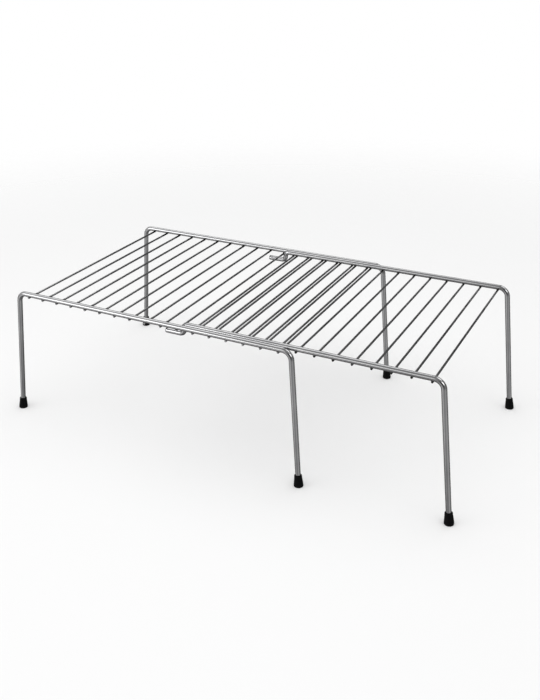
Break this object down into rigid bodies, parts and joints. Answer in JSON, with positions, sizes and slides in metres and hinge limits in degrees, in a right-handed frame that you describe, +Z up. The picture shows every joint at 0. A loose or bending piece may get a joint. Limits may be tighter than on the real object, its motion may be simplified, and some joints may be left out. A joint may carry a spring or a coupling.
{
  "type": "expandable cabinet shelf",
  "caption": "Chromed wire cupboard shelf on six rubber-footed legs, with an extension frame that nests in the main frame and makes it longer or shorter.",
  "frame": {"origin": "on the floor, at the middle of the object's box at rest, as pictured", "axes": "+X along the shelf towards the extension's legs, +Y from the front to the back, +Z up"},
  "size_m": [0.5454, 0.2774, 0.1571],
  "materials": {
    "chrome_side_wire": "thick chrome-plated steel wire, bright and smooth",
    "chrome_cross_wire": "thin chrome-plated steel wire, bright and smooth",
    "rubber": "matt black moulded rubber"
  },
  "bodies": {
    "main_frame": {"main_front_rail": "chrome_side_wire", "main_back_rail": "chrome_side_wire", "main_cross_wire_01": "chrome_cross_wire", "main_cross_wire_02": "chrome_cross_wire", "main_cross_wire_03": "chrome_cross_wire", "main_cross_wire_04": "chrome_cross_wire", "main_cross_wire_05": "chrome_cross_wire", "main_cross_wire_06": "chrome_cross_wire", "main_cross_wire_07": "chrome_cross_wire", "main_cross_wire_08": "chrome_cross_wire", "main_cross_wire_09": "chrome_cross_wire", "main_cross_wire_10": "chrome_cross_wire", "main_cross_wire_11": "chrome_cross_wire", "main_cross_wire_12": "chrome_cross_wire", "main_cross_wire_13": "chrome_cross_wire", "main_cross_wire_14": "chrome_cross_wire", "main_cross_wire_15": "chrome_cross_wire", "main_cross_wire_16": "chrome_cross_wire", "main_cross_wire_17": "chrome_cross_wire", "main_foot_front_left": "rubber", "main_foot_front_right": "rubber", "main_foot_back_left": "rubber", "main_foot_back_right": "rubber"},
    "extension_frame": {"extension_front_rail": "chrome_side_wire", "extension_back_rail": "chrome_side_wire", "extension_cross_wire_01": "chrome_cross_wire", "extension_cross_wire_02": "chrome_cross_wire", "extension_cross_wire_03": "chrome_cross_wire", "extension_cross_wire_04": "chrome_cross_wire", "extension_cross_wire_05": "chrome_cross_wire", "extension_cross_wire_06": "chrome_cross_wire", "extension_cross_wire_07": "chrome_cross_wire", "extension_cross_wire_08": "chrome_cross_wire", "extension_cross_wire_09": "chrome_cross_wire", "extension_cross_wire_10": "chrome_cross_wire", "extension_cross_wire_11": "chrome_cross_wire", "extension_cross_wire_12": "chrome_cross_wire", "extension_cross_wire_13": "chrome_cross_wire", "extension_cross_wire_14": "chrome_cross_wire", "extension_foot_front": "rubber", "extension_foot_back": "rubber"}
  },
  "joints": [
    {"name": "extension_slide", "type": "slide", "parent": "main_frame", "child": "extension_frame", "axis": [1, 0, 0], "range_m": [-0.14, 0.1]}
  ]
}
